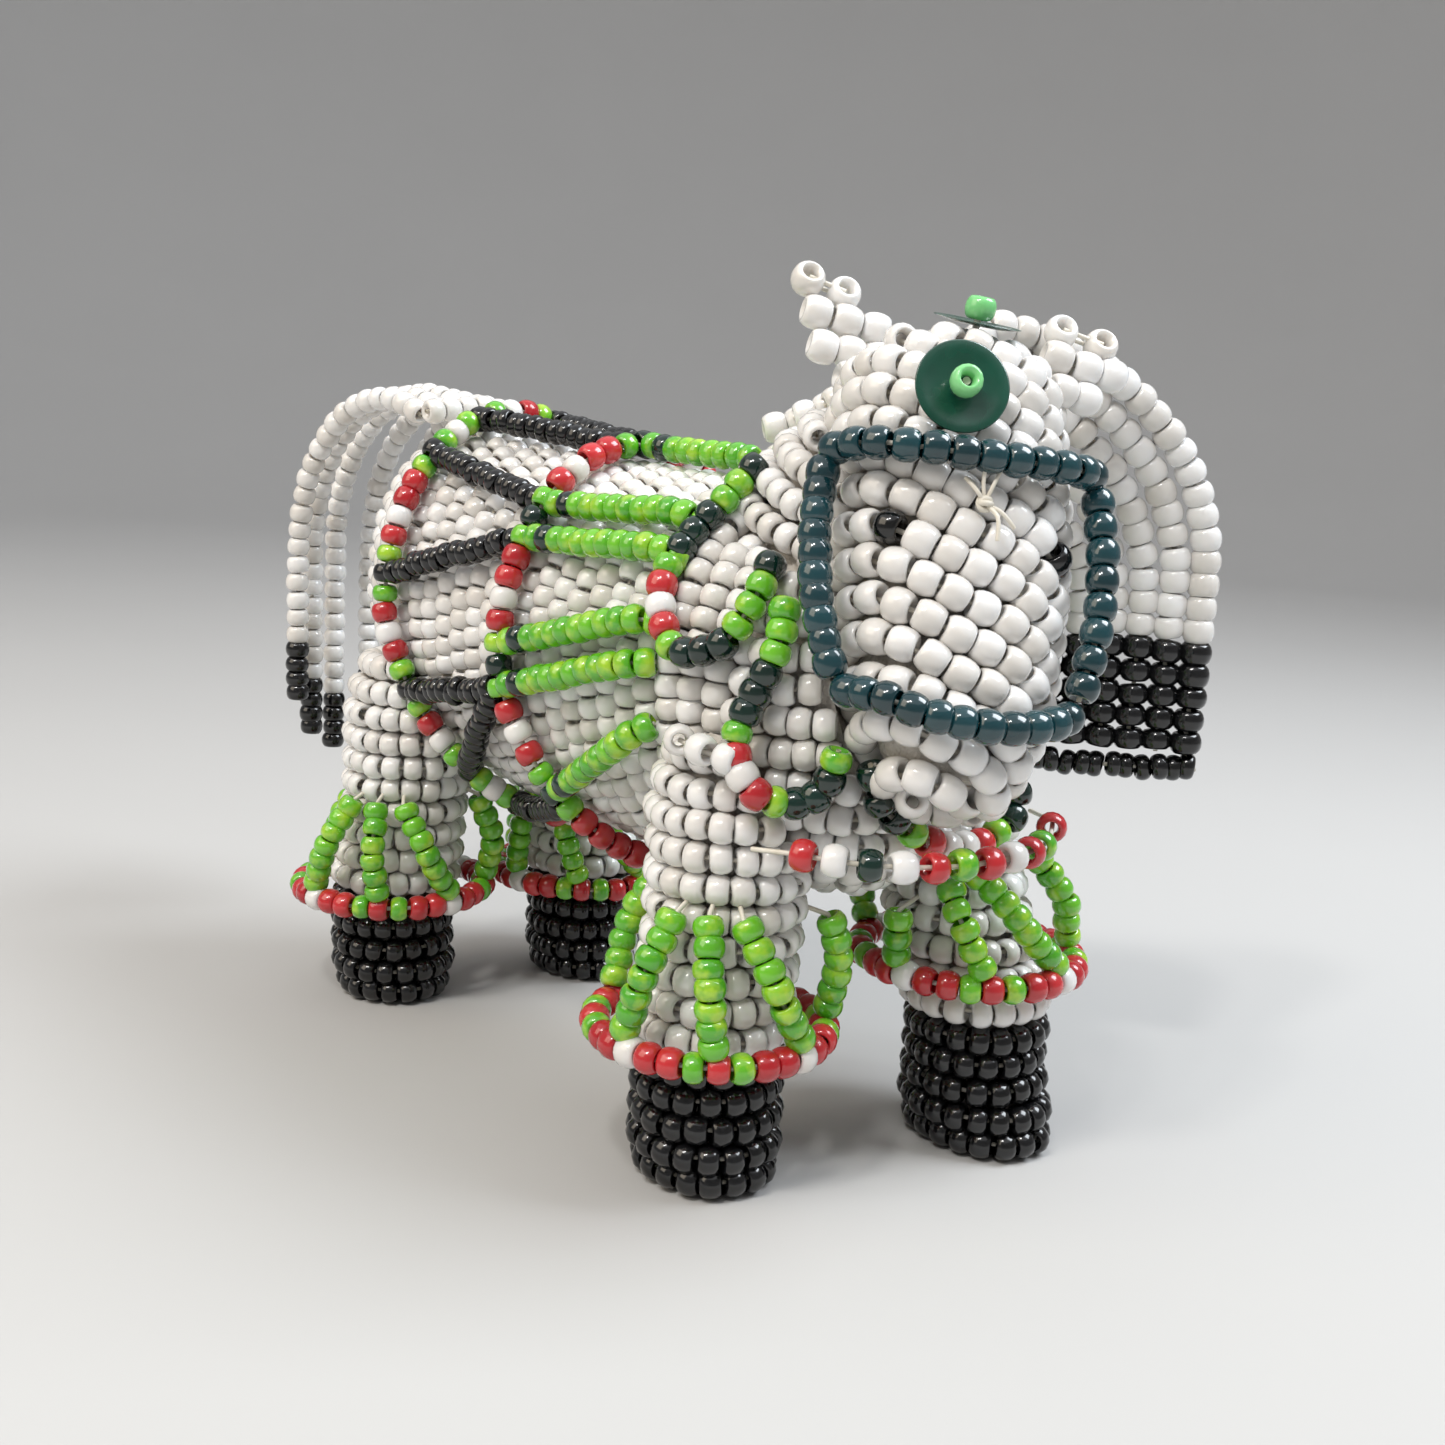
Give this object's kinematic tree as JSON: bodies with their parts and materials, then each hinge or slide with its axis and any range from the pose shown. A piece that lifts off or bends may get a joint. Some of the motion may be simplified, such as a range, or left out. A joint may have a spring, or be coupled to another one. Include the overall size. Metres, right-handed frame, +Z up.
{
  "type": "bead-woven horse figure",
  "caption": "Standing horse figure woven from glass beads over stuffing, with bridle, net, leg skirts, and a mane and tail of bead strands.",
  "frame": {"origin": "on the ground under the middle of the whole figure", "axes": "+Z up; the horse faces -Y; its left side is +X"},
  "size_m": [0.0475, 0.09, 0.0629],
  "materials": {
    "white_beads": "gloss",
    "green_beads": "gloss with a lustre",
    "dark_green_beads": "gloss",
    "teal_beads": "gloss",
    "red_beads": "gloss",
    "black_beads": "gloss",
    "mint_beads": "gloss",
    "sequin": "clear tinted gloss",
    "thread": "matt",
    "stuffing": "matt"
  },
  "bodies": {
    "horse": {"trunk_weave": "white_beads", "trunk_stuffing": "stuffing", "neck_weave": "white_beads", "neck_stuffing": "stuffing", "head_weave": "white_beads", "head_stuffing": "stuffing", "front_right_leg": "white_beads", "front_left_leg": "white_beads", "rear_right_leg": "white_beads", "rear_left_leg": "white_beads", "front_right_hoof": "black_beads", "front_left_hoof": "black_beads", "rear_right_hoof": "black_beads", "rear_left_hoof": "black_beads", "front_right_stuffing": "stuffing", "front_left_stuffing": "stuffing", "rear_right_stuffing": "stuffing", "rear_left_stuffing": "stuffing", "ear_right": "white_beads", "ear_left": "white_beads", "eye_right": "black_beads", "eye_left": "black_beads", "browband": "teal_beads", "cheek_strap_right": "teal_beads", "cheek_strap_left": "teal_beads", "noseband": "teal_beads", "forehead_thread": "thread", "forehead_stop_bead": "mint_beads", "crown_thread": "thread", "crown_stop_bead": "mint_beads", "mane_root": "white_beads", "collar_petals": "dark_green_beads", "breast_fringe": "dark_green_beads", "girth_ring": "red_beads", "rump_ring": "red_beads", "shoulder_strands": "green_beads", "rump_strands": "black_beads"},
    "mane": {"mane_strand_1": "white_beads", "mane_strand_2": "white_beads", "mane_strand_3": "white_beads", "mane_strand_4": "white_beads", "mane_strand_5": "white_beads", "mane_strand_6": "white_beads", "mane_strand_7": "white_beads", "mane_tip_row": "black_beads"},
    "tail_root": {"tail_root": "white_beads"},
    "tail": {"tail_strands": "white_beads", "tail_tips": "black_beads"},
    "forehead_sequin": {"forehead_sequin": "sequin"},
    "crown_sequin": {"crown_sequin": "sequin"},
    "breast_row": {"breast_row": "red_beads"},
    "front_right_skirt": {"front_right_skirt": "green_beads", "front_right_skirt_ring": "red_beads"},
    "front_left_skirt": {"front_left_skirt": "green_beads", "front_left_skirt_ring": "red_beads"},
    "rear_right_skirt": {"rear_right_skirt": "green_beads", "rear_right_skirt_ring": "red_beads"},
    "rear_left_skirt": {"rear_left_skirt": "green_beads", "rear_left_skirt_ring": "red_beads"}
  },
  "joints": [
    {"name": "tail_sway", "type": "hinge", "parent": "horse", "child": "tail_root", "pos_m": [-0.00473, 0.02317, 0.0522], "axis": [0, 0, 1], "range_deg": [-20, 20]},
    {"name": "tail_lift", "type": "hinge", "parent": "tail_root", "child": "tail", "pos_m": [-0.00473, 0.02317, 0.0522], "axis": [1, 0, 0], "range_deg": [0, 50]},
    {"name": "mane_lift", "type": "hinge", "parent": "horse", "child": "mane", "pos_m": [0.00077, -0.01893, 0.0523], "axis": [0.3529, -0.8495, 0.3921], "range_deg": [0, 40]},
    {"name": "forehead_sequin_spin", "type": "hinge", "parent": "horse", "child": "forehead_sequin", "pos_m": [-0.00832, -0.03585, 0.05482], "axis": [-0.5784, -0.756, 0.3065], "continuous": true},
    {"name": "crown_sequin_spin", "type": "hinge", "parent": "horse", "child": "crown_sequin", "pos_m": [-0.00083, -0.03082, 0.05943], "axis": [0, -0.1961, 0.9806], "continuous": true},
    {"name": "breast_row_lift", "type": "hinge", "parent": "horse", "child": "breast_row", "pos_m": [-0.00653, -0.03473, 0.0258], "axis": [-0.9741, 0.2255, -0.018], "range_deg": [0, 12]},
    {"name": "front_right_skirt_swing", "type": "hinge", "parent": "horse", "child": "front_right_skirt", "pos_m": [-0.01397, -0.02363, 0.0205], "axis": [1, 0, 0], "range_deg": [-3, 3]},
    {"name": "front_left_skirt_swing", "type": "hinge", "parent": "horse", "child": "front_left_skirt", "pos_m": [0.00476, -0.02759, 0.022], "axis": [1, 0, 0], "range_deg": [-3, 3]},
    {"name": "rear_right_skirt_swing", "type": "hinge", "parent": "horse", "child": "rear_right_skirt", "pos_m": [-0.01304, 0.01875, 0.019], "axis": [1, 0, 0], "range_deg": [-3, 3]},
    {"name": "rear_left_skirt_swing", "type": "hinge", "parent": "horse", "child": "rear_left_skirt", "pos_m": [0.00381, 0.01538, 0.019], "axis": [1, 0, 0], "range_deg": [-3, 3]}
  ]
}
